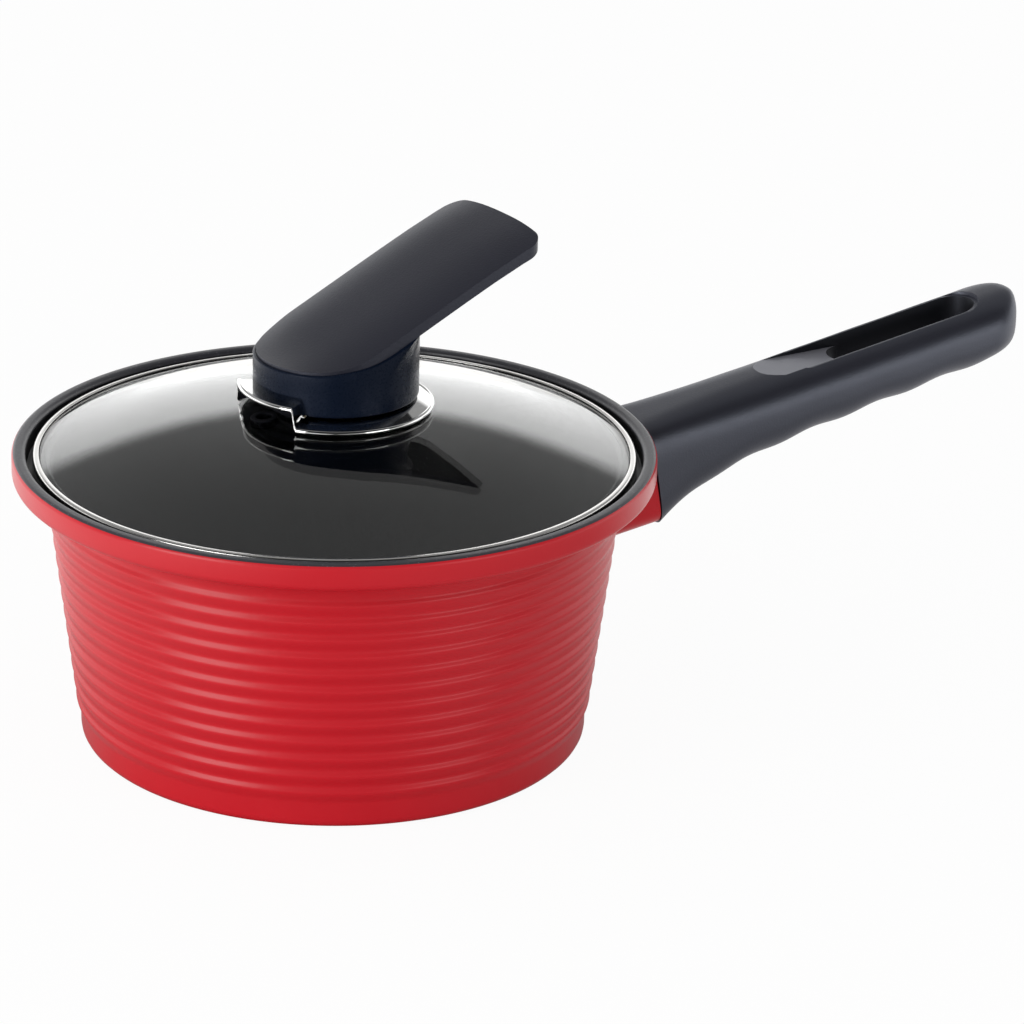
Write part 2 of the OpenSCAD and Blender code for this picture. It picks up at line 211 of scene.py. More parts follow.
def cooking_coat(name, ground, fleck_colour, sheen):
    coat = Finish(name, Specular_IOR_Level=sheen)
    fleck = coat.node("ShaderNodeTexVoronoi", None, {"Vector": coat.place, "Scale": 900.0}, "Distance")
    spark = coat.ramp(fleck, (0.10, 1.0), (0.22, 0.0))
    grain = coat.noise(1200.0, 2.0)
    return coat.join(
        Base_Color=coat.blend(spark * 0.5, ground, fleck_colour),
        Roughness=0.30 + 0.16 * grain,
        Normal=coat.bump(grain, 0.12, FINE_BUMP))


rim_coat = cooking_coat("rim_coat", (0.028, 0.028, 0.036), (0.18, 0.18, 0.21), sheen=0.75)
inside_coat_painted_shade = cooking_coat("inside_coat_painted_shade", (0.007, 0.007, 0.008), (0.05, 0.05, 0.053), sheen=0.3)
print("pan finishes:", red_enamel.name, rim_coat.name, inside_coat_painted_shade.name)

# %% [markdown]
# Several dark mouldings lie side by side on this pan, and each takes the light in its own way. The handle
# has a satin skin with a fine spark-eroded grain; its thumb ramp is smoother and painted paler, as a painted
# reflection of the bright studio, and the walls of its slot are dull and painted near black, as painted
# shade.
# The lever plate is a little greyer than the handle, the drum of the knob is polished and looks blue, and
# the seals are soft and grey. What lies in deep shade is painted matt black, as painted shade. All are one
# recipe with other numbers.


# %% Finishes of the mouldings
def moulding(name, dark, pale, blur, spread, grain, sheen=0.5):
    made = Finish(name, IOR=1.6, Specular_IOR_Level=sheen, Specular_Tint=(0.80, 0.85, 1.0, 1))
    cloud = made.noise(22.0, 3.0)
    pebble = made.noise(1600.0, 2.0)
    return made.join(
        Base_Color=made.blend(cloud, dark, pale),
        Roughness=blur + spread * pebble,
        Normal=made.bump(pebble, grain, FINE_BUMP))


handle_black = moulding("handle_black", (0.009, 0.009, 0.015), (0.014, 0.014, 0.022),
                        blur=0.36, spread=0.14, grain=0.22, sheen=1.0)
ramp_painted_reflection = moulding("ramp_painted_reflection", (0.125, 0.125, 0.142), (0.150, 0.150, 0.168),
                     blur=0.34, spread=0.10, grain=0.10, sheen=1.0)
slot_painted_shade = moulding("slot_painted_shade", (0.004, 0.004, 0.005), (0.006, 0.006, 0.008),
                      blur=0.42, spread=0.12, grain=0.10, sheen=0.32)
lever_black = moulding("lever_black", (0.011, 0.011, 0.018), (0.016, 0.016, 0.025),
                       blur=0.30, spread=0.14, grain=0.28, sheen=0.4)
drum_black = moulding("drum_black", (0.003, 0.006, 0.014), (0.005, 0.009, 0.021),
                      blur=0.24, spread=0.08, grain=0.02, sheen=0.10)
seal_grey = moulding("seal_grey", (0.020, 0.020, 0.022), (0.030, 0.030, 0.033),
                     blur=0.55, spread=0.15, grain=0.10)
# A near-black moulding, put as painted shade where parts lie in deep shade.
painted_shade_black = moulding("painted_shade_black", (0.004, 0.004, 0.005), (0.006, 0.006, 0.008),
                      blur=0.70, spread=0.15, grain=0.10, sheen=0.08)
mouldings = [handle_black, ramp_painted_reflection, slot_painted_shade, lever_black, drum_black, seal_grey, painted_shade_black]
print("mouldings:", ", ".join(made.name for made in mouldings))

# %% [markdown]
# Metals differ in colour and in how much they blur. Polishing and rolling leave fine streaks, so the noise
# is stretched by a Mapping node, and it moves the roughness a little. Glass is a shader that lets light
# through; its faint green drift and a trace of haze keep it from looking like empty air.


# %% Finishes of the metals and the glass
def metal(name, dark, pale, blur, spread, streak):
    made = Finish(name, Metallic=1.0)
    stretch = {"Vector": made.place, "Scale": (60.0, 60.0, streak)}
    stretched = made.node("ShaderNodeMapping", None, stretch)
    line = made.node("ShaderNodeTexNoise", None, {"Vector": stretched, "Scale": 8.0, "Detail": 3.0}, "Fac")
    return made.join(
        Base_Color=made.blend(line, dark, pale),
        Roughness=blur + spread * line,
        Normal=made.bump(line, 0.03, FINE_BUMP / 2))


band_steel = metal("band_steel", (0.70, 0.69, 0.67), (0.80, 0.79, 0.77),
                   blur=0.12, spread=0.10, streak=900.0)
collar_chrome = metal("collar_chrome", (0.78, 0.78, 0.77), (0.86, 0.86, 0.85),
                      blur=0.05, spread=0.05, streak=300.0)
zinc_steel = metal("zinc_steel", (0.50, 0.51, 0.53), (0.62, 0.63, 0.65),
                   blur=0.26, spread=0.14, streak=200.0)
insert_brass = metal("insert_brass", (0.60, 0.43, 0.17), (0.74, 0.55, 0.24),
                     blur=0.22, spread=0.12, streak=200.0)

pane = Finish("clear_glass", Transmission_Weight=1.0, IOR=1.5)
haze = pane.noise(30.0, 2.0)
clear_glass = pane.join(
    Base_Color=pane.blend(haze, (0.90, 0.915, 0.91), (0.94, 0.95, 0.945)),
    Roughness=0.02 * haze)
metals = [band_steel, collar_chrome, zinc_steel, insert_brass]
print("metals:", ", ".join(made.name for made in metals), "and", clear_glass.name)

# %% [markdown]
# Most of this pan is round, so most pieces start as half a section that is spun about the upright axis. A
# section is a row of points joined by edges; a point may carry a cut-back, and the bevel operator then
# rounds that corner. A few short helpers stand for operators that come back often, such as a full spin, a
# turn about the origin or a cut by a plane.

# %% Mesh helpers
FULL_TURN = 2 * pi


def outwards(bm):
    bmesh.ops.recalc_face_normals(bm, faces=bm.faces[:])


def moved(bm, vec):
    bmesh.ops.translate(bm, vec=vec, verts=bm.verts[:])


def turned(bm, angle, axis):
    bmesh.ops.rotate(bm, cent=(0, 0, 0), matrix=Matrix.Rotation(angle, 3, axis), verts=bm.verts[:])


def rounded(bm, geom, offset, affect, segments, clamp=False):
    """Rounds corners or edges, with the editor's profile and material."""
    bmesh.ops.bevel(bm, geom=geom, offset=offset, offset_type="OFFSET", affect=affect, segments=segments,
                    profile=0.5, material=-1, clamp_overlap=clamp)


def eased(bm, limit, width, segments=2, only=None):
    """Rounds the edges that turn by more than the limit, in degrees."""
    sharp = [e for e in bm.edges if e.is_manifold and e.calc_face_angle() > radians(limit)]
    sharp = [e for e in sharp if only is None or only(e)]
    rounded(bm, sharp, width, "EDGES", segments, clamp=True)


def sliced(bm, point, normal, clear=False):
    """Cuts a mesh along a plane, and may clear what lies beyond it."""
    bmesh.ops.bisect_plane(bm, geom=bm.verts[:] + bm.edges[:] + bm.faces[:], plane_co=point,
                           plane_no=normal, clear_outer=clear)


def drawn_out(bm, faces):
    """Extrudes faces and gives back the new points."""
    made = bmesh.ops.extrude_face_region(bm, geom=faces)["geom"]
    return [item for item in made if isinstance(item, bmesh.types.BMVert)]


def whole_spin(bm, steps):
    bmesh.ops.spin(bm, geom=bm.verts[:] + bm.edges[:], axis=(0, 0, 1), cent=(0, 0, 0), steps=steps,
                   angle=FULL_TURN, use_merge=True)


print("operator helpers ready")


# %% Sections and solids
def section(bm, points, closed=True):
    """Edges through (x, z) or (x, z, cut-back) points, with the marked corners rounded."""
    verts = [bm.verts.new((p[0], 0, p[1])) for p in points]
    edges = [bm.edges.new(pair) for pair in zip(verts, verts[1:])]
    if closed:
        edges.append(bm.edges.new((verts[-1], verts[0])))
    for vert, point in zip(verts, points):
        if len(point) == 3:
            rounded(bm, [vert], point[2], "VERTICES", 5)


def spun(points, steps, closed=True):
    """A section spun about the Z axis."""
    bm = bmesh.new()
    section(bm, points, closed)
    whole_spin(bm, steps)
    bmesh.ops.remove_doubles(bm, verts=bm.verts[:], dist=0.0005)
    return bm


def prism(outline, half):
    """A side outline of (x, z) points drawn out to both sides of the XZ plane."""
    bm = bmesh.new()
    face = bm.faces.new([bm.verts.new((x, -half, z)) for x, z in outline])
    bmesh.ops.translate(bm, vec=(0, 2 * half, 0), verts=drawn_out(bm, [face]))
    return bm


def joined(*meshes):
    """Several bmeshes as one."""
    whole = bmesh.new()
    for bm in meshes:
        held = bpy.data.meshes.new("held")
        bm.to_mesh(held)
        bm.free()
        whole.from_mesh(held)
        bpy.data.meshes.remove(held)
    return whole


def carved(body, tool):
    """One bmesh less another, by way of the Boolean modifier."""
    pair = []
    for bm in (body, tool):
        outwards(bm)
        held = bpy.data.objects.new("held", bpy.data.meshes.new("held"))
        bm.to_mesh(held.data)
        bm.free()
        bpy.context.scene.collection.objects.link(held)
        pair.append(held)
    cut = pair[0].modifiers.new("cut", "BOOLEAN")
    cut.operation = "DIFFERENCE"
    cut.solver = "EXACT"
    cut.object = pair[1]
    shaped = pair[0].evaluated_get(bpy.context.evaluated_depsgraph_get()).to_mesh()
    result = bmesh.new()
    result.from_mesh(shaped)
    for held in pair:
        mesh = held.data
        bpy.data.objects.remove(held)
        bpy.data.meshes.remove(mesh)
    return result


print("section and solid helpers ready")

# %% [markdown]
# Every piece ends in the same way: doubles merged, faces turned outwards, sharp edges marked, scaled to
# metres, and tied to its body, while the solid that it stands for is hidden.


# %% Last step of a piece
def finished(name, bm, body, node, finishes, turn=0.0, smooth=38.0, flat=()):
    """Scales a piece to metres, shades it, ties it to its body and hides the solid that it stands for."""
    bmesh.ops.remove_doubles(bm, verts=bm.verts[:], dist=0.001)
    outwards(bm)
    turned(bm, turn, "Z")
    bmesh.ops.scale(bm, vec=(MM, MM, MM), verts=bm.verts[:])
    for edge in bm.edges:
        edge.smooth = edge.calc_face_angle(0.0) < radians(smooth)
    for face in bm.faces:
        face.smooth = face.material_index not in flat
    mesh = bpy.data.meshes.new(name)
    bm.to_mesh(mesh)
    bm.free()
    piece = bpy.data.objects.new(name, mesh)
    for finish in finishes:
        mesh.materials.append(finish)
    bpy.context.scene.collection.objects.link(piece)
    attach(piece, body)
    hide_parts(node)
    print(f"{name}: {len(mesh.polygons)} faces, for {node}")


print("pieces are scaled by", MM)

# %% [markdown]
# The pan is one casting. Its wall leans outwards by about seven degrees and is ringed by shallow ribs, each
# with a slow swell and a short ledge above it, like lapped boards. Over the wall stands a plain upright
# band, and inside the band a step takes the lid. The outside and the inside are spun as two strips, so that
# each can have its own finish, and their shared edges are merged.

# %% Section of the pan
RIM_R, PAN_H, BASE_R, NECK_R = 95.0, 89.0, 75.8, 85.6
BAND_Z, SEAT_Z, MOUTH_R = 80.8, 83.4, 90.8
FLOOR, WALL = 4.0, 3.4
RIB_FOOT, RIB_PITCH, RIB_DEPTH, RIB_COUNT, RIB_CREST, RIB_POINTS = 8.0, 5.5, 0.9, 12, 0.7, 10
FOOT_ROUND, NECK_ROUND, NECK_SINK, EDGE, LOW_EDGE = 3.0, 5.5, 0.3, 1.5, 2.4
SEAT_ROUND, STEP_ROUND, INNER_ROUND = 0.5, 0.8, 4.0


def wall_r(z):
    return BASE_R + (NECK_R - BASE_R) * z / BAND_Z


def rib_r(z):
    share = ((z - RIB_FOOT) / RIB_PITCH) % 1.0
    if share < RIB_CREST:
        swell = (1 - cos(pi * share / RIB_CREST)) / 2
    else:
        swell = (1 + cos(pi * (share - RIB_CREST) / (1 - RIB_CREST))) / 2
    return wall_r(z) - RIB_DEPTH * (1 - swell)


rib_rows = [RIB_FOOT + RIB_PITCH * i / RIB_POINTS for i in range(RIB_COUNT * RIB_POINTS + 1)]
rim_turn = [pi * i / 20 for i in range(11)]
rim_edge = [(RIM_R - EDGE + EDGE * cos(a), PAN_H - EDGE + EDGE * sin(a)) for a in rim_turn]
outside = [(0, 0), (wall_r(0), 0, FOOT_ROUND)]
outside += [(rib_r(z), z) for z in rib_rows]
outside += [(wall_r(BAND_Z) - NECK_SINK, BAND_Z, NECK_ROUND), (RIM_R, BAND_Z, LOW_EDGE)] + rim_edge[:6]
inside = rim_edge[5:] + [(MOUTH_R, PAN_H, EDGE), (MOUTH_R, SEAT_Z, SEAT_ROUND)]
inside += [(wall_r(SEAT_Z) - WALL, SEAT_Z, STEP_ROUND), (wall_r(FLOOR) - WALL, FLOOR, INNER_ROUND)]
inside += [(0, FLOOR)]
print("section points:", len(outside), "outside,", len(inside), "inside")

# %% [markdown]
# The lug that carries the handle is a rounded block on the wall, cast in one with the pan. It is a flat
# oblong with its corners rounded, drawn out along the handle's screw, which climbs by ten degrees. Each
# point of its inner end is moved along the screw until it lies inside the wall's thickness, so nothing of it
# shows in the pan. The lug is cut off level under the rim, because there the handle lies over it as a lip,
# and a small web ties it to the band.

# %% Lug
LUG_OUT, LUG_UP, LUG_DOWN, LUG_HALF, LUG_ROUND, LIP_Z = 100.0, 12.0, 20.0, 14.0, 6.5, 78.5
SCREW_Z, SCREW_TILT = 72.0, radians(10.0)
ROOT_GUESS = -18.0


def on_screw(along, y, up):
    """A point measured from the middle of the lug's face, along the screw and square to it."""
    return Vector((LUG_OUT + along * cos(SCREW_TILT) - up * sin(SCREW_TILT), y,
                   SCREW_Z + along * sin(SCREW_TILT) + up * cos(SCREW_TILT)))


def in_wall(y, up):
    """A point slid along the screw, in a few ever smaller steps, to the middle of the wall."""
    along = ROOT_GUESS
    for _ in range(5):
        point = on_screw(along, y, up)
        along -= point.xy.length - wall_r(point.z) + WALL / 2
    return point


def lug():
    bm = bmesh.new()
    corners = [(-LUG_HALF, -LUG_DOWN), (LUG_HALF, -LUG_DOWN), (LUG_HALF, LUG_UP), (-LUG_HALF, LUG_UP)]
    face = bm.faces.new([bm.verts.new((0, y, up)) for y, up in corners])
    rounded(bm, face.verts[:], LUG_ROUND, "VERTICES", 8)
    root = bm.verts[:]
    for vert in drawn_out(bm, bm.faces[:]):
        vert.co = on_screw(0, vert.co.y, vert.co.z)
    for vert in root:
        vert.co = in_wall(vert.co.y, vert.co.z)
    sliced(bm, (0, 0, LIP_Z), (0, 0, 1), clear=True)
    bmesh.ops.holes_fill(bm, edges=[e for e in bm.edges if e.is_boundary])
    return bm


print("lug reaches", LUG_OUT, "mm from the axis")

# %% Casting
PAN_STEPS = 288
WEB_IN, WEB_OUT, WEB_HALF, WEB_LOW, WEB_HIGH = 84, 92.4, LUG_HALF - 1.5, LIP_Z - 1, BAND_Z + 0.5
web = prism([(WEB_IN, WEB_LOW), (WEB_OUT, WEB_LOW), (WEB_OUT, WEB_HIGH), (WEB_IN, WEB_HIGH)], WEB_HALF)
shell = spun(outside, PAN_STEPS, closed=False)
lining = spun(inside, PAN_STEPS, closed=False)
# Faces below the rim's rounding take the darker coat, as painted shade inside the pan.
for face in lining.faces:
    face.material_index = 2 if face.calc_center_median().z < PAN_H - EDGE else 1
finished("pan_casting", joined(shell, lining, lug(), web), "pan", "pan_body",
         [red_enamel, rim_coat, inside_coat_painted_shade])

# %% [markdown]
# The handle is moulded. It leaves the lug as tall as the lug is, thins out quickly into a grip, and has
# shallow waves for the fingers underneath. Rings across the handle are drawn as circles, pulled into rounded
# ovals, and bridged one to the next. The root is then trimmed to the rim and the lug, and the long slot, the
# thumb ramp and the pocket of the screw are cut out, as a mould's cores would leave them.

# %% Lines of the handle
HANDLE_X, HANDLE_LEN, HANDLE_RISE = 100.3, 132.7, 11.1
ROOT_TOP, ROOT_DEPTH, GRIP_DEPTH, GRIP_TAPER, FLARE = 85.0, 36.6, 22.2, 4.5, 7.6
ROOT_W, ROOT_BACK, GRIP_W, WAVE, WAVE_PITCH = 29.6, 1.5, 27.6, 0.5, 22.8
GRIP_POWER, ROOT_POWER = 2.6, 1.9
TIP_LEN, TIP_DROP, TIP_ABOVE, TIP_BELOW, TIP_TURN = 12.0, 0.3, 6, 3, radians(84)
RING, GRIP_RINGS, TIP_RINGS = 144, 60, 12


def top_z(u):
    return ROOT_TOP + HANDLE_LEN * u * tan(radians(HANDLE_RISE))


def fade(u):
    return (1 - max(u, 0)) ** FLARE


def depth(u):
    grip_here = GRIP_DEPTH + GRIP_TAPER * (0.5 - u)
    flared = (ROOT_DEPTH - GRIP_DEPTH - GRIP_TAPER / 2) * fade(u)
    return grip_here + flared + WAVE * (1 - fade(u)) * cos(2 * pi * u * HANDLE_LEN / WAVE_PITCH)


def soft(value, power):
    return abs(value) ** (2 / power) * (1 if value > 0 else -1)


def oval(bm, u, into_tip):
    """One ring of the handle, at share u of its length."""
    ring = bmesh.ops.create_circle(bm, cap_ends=False, radius=1.0, segments=RING)["verts"]
    power = GRIP_POWER + ROOT_POWER * fade(u)
    half = (GRIP_W + (ROOT_W - GRIP_W) * fade(u) ** 2) / 2 * cos(into_tip)
    high = depth(u) / 2
    for vert in ring:
        across, up = vert.co.x, vert.co.y
        drawn_in = 1 - TIP_DROP * sin(into_tip) ** (TIP_ABOVE if up > 0 else TIP_BELOW)
        z = top_z(u) - high + high * drawn_in * soft(up, power)
        vert.co = (HANDLE_X + HANDLE_LEN * u, half * soft(across, power), z)
    return list({e for v in ring for e in v.link_edges})


straight = 1 - TIP_LEN / HANDLE_LEN
tip_turns = [TIP_TURN * i / TIP_RINGS for i in range(1, TIP_RINGS + 1)]
stations = [((RIM_R - ROOT_BACK - HANDLE_X) / HANDLE_LEN, 0.0)]
stations += [(straight * i / GRIP_RINGS, 0.0) for i in range(GRIP_RINGS + 1)]
stations += [(straight + (1 - straight) * sin(a), a) for a in tip_turns]
print("handle rings:", len(stations), "of", RING, "points")

# %% Blank of the handle
RIM_GAP, LUG_GAP, TOOL_HALF, TOOL_HIGH = 0.4, 0.3, 30, 400
grip = bmesh.new()
rings = [oval(grip, u, a) for u, a in stations]
for near, far in zip(rings, rings[1:]):
    bmesh.ops.bridge_loops(grip, edges=near + far)
for end in (rings[0], rings[-1]):
    bmesh.ops.edgeloop_fill(grip, edges=end)

rim_tool = bmesh.new()
bmesh.ops.create_cone(rim_tool, cap_ends=True, segments=720, radius1=RIM_R + RIM_GAP,
                      radius2=RIM_R + RIM_GAP, depth=TOOL_HIGH)
grip = carved(grip, rim_tool)
lean = tan(SCREW_TILT)
room_z = LIP_Z + LUG_GAP
room = [(0, 0), (HANDLE_X + SCREW_Z * lean, 0), (HANDLE_X + (SCREW_Z - LIP_Z - LUG_GAP) * lean, room_z),
        (0, room_z)]
grip = carved(grip, prism(room, TOOL_HALF))
print("blank of the handle:", len(grip.faces), "faces")

# %% Slot and ramp
SLOT_IN, SLOT_OUT, SLOT_W, SLOT_DEEP, CORE_HIGH = 167.8, 218.4, 15.0, 40.0, 60
LAND, LAND_DROP, LAND_FROM = 1.3, 1.25, 9
RAMP_IN, RAMP_OUT, RAMP_DEPTH, RAMP_ROOM = 141.9, SLOT_IN + SLOT_W / 2, 5.0, 6


def slot_core(start, margin, under):
    """A block with round ends that stands on a line a given height under the handle's top."""
    bm = bmesh.new()
    wide = SLOT_W + 2 * margin
    end = SLOT_OUT + margin
    bmesh.ops.create_cube(bm, size=1.0)
    bmesh.ops.scale(bm, vec=(end - start, wide, CORE_HIGH), verts=bm.verts[:])
    upright = [e for e in bm.edges if abs(e.verts[0].co.z - e.verts[1].co.z) > 1]
    rounded(bm, upright, wide / 2 - 0.01, "EDGES", 14)
    moved(bm, ((start + end) / 2, 0, CORE_HIGH / 2))
    for vert in bm.verts:
        vert.co.z += top_z((vert.co.x - HANDLE_X) / HANDLE_LEN) - under
    return bm


def by_slot(edge):
    inner = SLOT_W / 2 + 0.1
    return all(RAMP_IN - 1 < v.co.x < SLOT_OUT + 1 and abs(v.co.y) < inner for v in edge.verts)


grip = carved(grip, slot_core(RAMP_IN + LAND_FROM, LAND, LAND_DROP))
grip = carved(grip, slot_core(SLOT_IN, 0.0, SLOT_DEEP))
ramp_z = [top_z((x - HANDLE_X) / HANDLE_LEN) for x in (RAMP_IN, RAMP_OUT)]
ramp_side = [(RAMP_IN, ramp_z[0]), (RAMP_OUT, ramp_z[1] - RAMP_DEPTH), (RAMP_OUT, ramp_z[1] + RAMP_ROOM),
             (RAMP_IN, ramp_z[0] + RAMP_ROOM)]
grip = carved(grip, prism(ramp_side, SLOT_W / 2 - 0.02))
eased(grip, limit=45, width=0.3, only=by_slot)
print("slot is", round(SLOT_OUT - SLOT_IN, 1), "mm long and", SLOT_W, "mm wide")

# %% Pocket of the screw
POCKET_R, POCKET_IN, POCKET_OUT = 5.9, 59.2, 75.0
pocket_tool = bmesh.new()
bmesh.ops.create_cone(pocket_tool, cap_ends=True, segments=48, radius1=POCKET_R, radius2=POCKET_R,
                      depth=POCKET_OUT - POCKET_IN)
turned(pocket_tool, pi / 2 - SCREW_TILT, "Y")
moved(pocket_tool, on_screw((POCKET_IN + POCKET_OUT) / 2, 0, 0))
grip = carved(grip, pocket_tool)
print("handle with its cuts:", len(grip.faces), "faces")

# %% [markdown]
# The handle has three finishes. A face belongs to the ramp if it lies in the ramp's own plane, and to the
# slot if it stands upright on the slot's outline. The ramp is shaded flat, because it is one flat cut.

# %% Finish of the handle
FLUSH, UPRIGHT = 0.998, 0.3


def off_slot(point):
    """Distance of a point from the slot's middle line, seen from above."""
    along = min(max(point.x, SLOT_IN + SLOT_W / 2), SLOT_OUT - SLOT_W / 2)
    return sqrt((point.x - along) ** 2 + point.y ** 2)


ramp_up = Vector((ramp_z[0] - ramp_z[1] + RAMP_DEPTH, 0, RAMP_OUT - RAMP_IN)).normalized()
for face in grip.faces:
    middle = face.calc_center_median()
    in_ramp = RAMP_IN < middle.x < RAMP_OUT + 1 and abs(middle.y) < SLOT_W / 2 + 0.01
    face.material_index = 0
    # A face in the ramp's plane gets the paler finish, a painted reflection.
    if in_ramp and face.normal.dot(ramp_up) > FLUSH:
        face.material_index = 1
    # An upright face in the slot gets the near-black finish, as painted shade in the recess.
    elif abs(face.normal.z) < UPRIGHT and (in_ramp or off_slot(middle) < SLOT_W / 2 + 0.05):
        face.material_index = 2
finished("handle_moulding", grip, "pan", "handle_grip",
         [handle_black, ramp_painted_reflection, slot_painted_shade], smooth=32.0, flat=(1,))

# %% [markdown]
# The lid is a shallow dome of clear glass with a flat edge, held in a rolled steel band. Both are full turns
# of a section. The dome is part of a large ball, so its section is an arc with a hole left in the middle for
# the knob's screw. Inside, the arc has the same centre, and near the edge the glass thins a little. Faces
# that the band covers are matt black, because no light gets there. The whole lid lies turned a little from
# the handle, as it was put down.

# %% Glass
LID_TURN = radians(8.0)
LID_STEPS = 240
BAND_R, LID_Z, BAND_TOP, EDGE_Z, HOLE_R = 88.9, 83.7, 88.2, 87.6, 6.0
DOME_EDGE, DOME_RISE, GLASS, DOME_ROWS = 86.8, 15.8, 4.0, 30
GLASS_R, FOOT_IN, FOOT_Z, THIN_FROM = BAND_R - 0.6, 85.6, LID_Z + 0.6, 68.0
DOME_R = (DOME_EDGE ** 2 + DOME_RISE ** 2) / (2 * DOME_RISE)
DOME_TOP = EDGE_Z + DOME_RISE
DOME_Z = DOME_TOP - DOME_R


def dome(radius, first, last):
    """Points of the dome's arc between two distances from the axis."""
    spots = [first + (last - first) * i / DOME_ROWS for i in range(DOME_ROWS + 1)]
    return [(r, DOME_Z + sqrt(radius ** 2 - r ** 2)) for r in spots]


def near_edge(r):
    return max(0.0, (r - THIN_FROM) / (FOOT_IN - THIN_FROM)) ** 2


hollow = dome(DOME_R - GLASS, FOOT_IN, HOLE_R)
thinning = FOOT_Z - hollow[0][1]
hollow = [(r, z + thinning * near_edge(r)) for r, z in hollow]
glass_edge = [(GLASS_R, EDGE_Z), (GLASS_R, FOOT_Z)]
lid = spun(dome(DOME_R, HOLE_R, DOME_EDGE) + glass_edge + hollow, LID_STEPS)
for face in lid.faces:
    middle = face.calc_center_median()
    face.material_index = 1 if middle.xy.length > FOOT_IN and middle.z < EDGE_Z + 0.02 else 0
finished("lid_dome", lid, "lid", "lid_glass", [clear_glass, painted_shade_black], LID_TURN,
         smooth=15.0)
print("glass rises", round(DOME_TOP - EDGE_Z, 1), "mm over its edge")

# %% Band
BAND_IN, FLANGE_IN, BAND_T, LIP_T = 87.0, 84.0, 0.5, 0.55
band_section = [(BAND_R, LID_Z, 0.7), (BAND_R, BAND_TOP, 0.9), (BAND_IN, BAND_TOP - 0.1, 0.2)]
band_section += [(BAND_IN, BAND_TOP - LIP_T), (BAND_R - BAND_T, BAND_TOP - LIP_T)]
band_section += [(BAND_R - BAND_T, LID_Z + BAND_T), (FLANGE_IN, LID_Z + BAND_T), (FLANGE_IN, LID_Z)]
band = spun(band_section, PAN_STEPS)
outwards(band)
# Faces inside the band's channel get the matt black in place of steel, as painted shade.
for face in band.faces:
    middle = face.calc_center_median()
    covered = LID_Z < middle.z < BAND_TOP - 0.5 and middle.xy.length < BAND_R - 0.2
    face.material_index = 1 if covered else 0
finished("lid_steel_band", band, "lid", "lid_band", [band_steel, painted_shade_black], LID_TURN)

# %% [markdown]
# The collar is one pressed sheet. It lies flat under the knob, slopes down to a rolled edge, and is lifted
# on one side into a small roof over the steam hole. So it is spun as a plain sheet first; then the points
# inside the mouth's angle are lifted to the roof, with a quick smooth step at both sides, and the sheet gets
# its thickness. The rolled edge is a ring of its own that is lifted with it.

# %% Collar with the steam mouth
COLLAR_Z, COLLAR_T, COLLAR_R, ROOF_Z, MOUTH_IN = 104.25, 0.8, 29.0, 109.35, 21.2
MOUTH_HALF, MOUTH_STEP = radians(33.0), radians(1.4)
COLLAR_HOLE, SLOPE_FROM, SLOPE_IN, BEAD_R, COLLAR_STEPS = 6.2, 23.9, 24.6, 0.8, 480
EDGE_DROP = COLLAR_Z - 0.9


def away(vert):
    """Angle of a point from the side that looks away from the lever."""
    return abs(atan2(vert.co.y, -vert.co.x))


def mouth_share(angle, half, soften):
    """1 inside an angle, 0 outside, with a smooth step between."""
    t = min(max((half + soften - angle) / (2 * soften), 0.0), 1.0)
    return t * t * (3 - 2 * t)


def lifted(bm, level):
    for vert in bm.verts:
        if vert.co.xy.length > MOUTH_IN + 0.15:
            share = mouth_share(away(vert), MOUTH_HALF, MOUTH_STEP)
            vert.co.z += (level(vert) - vert.co.z) * share


flat_z, bead_at = COLLAR_Z + COLLAR_T / 2, (COLLAR_R - BEAD_R, EDGE_DROP - COLLAR_T / 2)
sheet = spun([(COLLAR_HOLE, flat_z), (MOUTH_IN, flat_z), (MOUTH_IN + 0.3, flat_z), (SLOPE_FROM, flat_z),
              (SLOPE_IN, flat_z - 0.1), bead_at], COLLAR_STEPS, closed=False)
lifted(sheet, lambda v: ROOF_Z - COLLAR_T / 2)
outwards(sheet)
bmesh.ops.solidify(sheet, geom=sheet.faces[:], thickness=COLLAR_T)
moved(sheet, (0, 0, COLLAR_T / 2))
bead = bmesh.new()
bmesh.ops.create_circle(bead, segments=14, radius=BEAD_R)
turned(bead, pi / 2, "X")
moved(bead, (bead_at[0], 0, bead_at[1]))
whole_spin(bead, COLLAR_STEPS)
lifted(bead, lambda v: v.co.z + ROOF_Z - EDGE_DROP)
outwards(sheet)
# Faces that look down, and those under the roof, get the matt black in place of chrome, as painted shade.
for face in sheet.faces:
    probe = face.calc_center_median() + face.normal
    in_mouth = abs(atan2(probe.y, -probe.x)) < MOUTH_HALF and probe.xy.length > MOUTH_IN
    under_roof = in_mouth and probe.z < ROOF_Z
    face.material_index = 1 if face.normal.z < -0.3 or under_roof else 0
finished("steam_collar", joined(sheet, bead), "lid", "knob_collar",
         [collar_chrome, painted_shade_black], LID_TURN)

# %% [markdown]
# The knob is a drum with a plate on top that runs out as a lever. The line of the top, seen from the side,
# rises by 25 degrees and eases off in a hollow curve over the steam mouth. Across, the plate is crowned:
# flat in the middle and falling off at the sides, which gives it the soft light along its edge. A camber
# lifts the plate by most of that fall, so that its sides stay in place, and dies out at the tip.

# %% Top line of the knob
LEVER_Z, LEVER_RISE, BEND_AT, BEND_R = 125.0, radians(25.0), -6.0, 52.0
LEVER_HALF, LEVER_T, LEVER_REACH, CROWN, CAMBER = 23.4, 3.2, 57.6, 2.0, 1.6
BEND_Z = LEVER_Z + BEND_AT * tan(LEVER_RISE)
BEND_X = BEND_AT - BEND_R * sin(LEVER_RISE)
BEND_TOP = BEND_Z + BEND_R * cos(LEVER_RISE)


